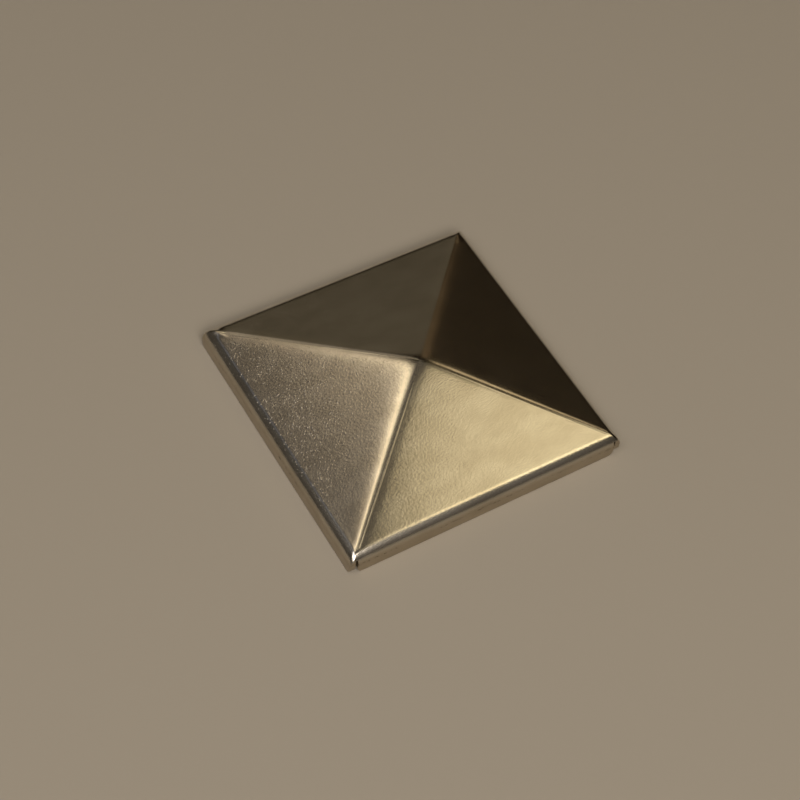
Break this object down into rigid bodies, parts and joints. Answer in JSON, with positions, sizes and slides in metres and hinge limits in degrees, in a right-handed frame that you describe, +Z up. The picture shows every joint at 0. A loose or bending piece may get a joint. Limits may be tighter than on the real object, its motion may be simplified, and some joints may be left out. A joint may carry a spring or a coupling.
{
  "type": "aluminium post cap",
  "caption": "Low pyramid cap pressed from one aluminium sheet, with a short folded skirt slit at each corner, set over the end of a square post.",
  "frame": {"origin": "middle of the skirt's lower rim, in the plane that the cap rests on", "axes": "+Z up through the peak; X across the two long flanges, Y across the two short flanges"},
  "size_m": [0.08, 0.08, 0.0165],
  "materials": {
    "aluminium_sheet": "satin"
  },
  "bodies": {
    "root": {"post_cap": "aluminium_sheet"}
  },
  "joints": []
}
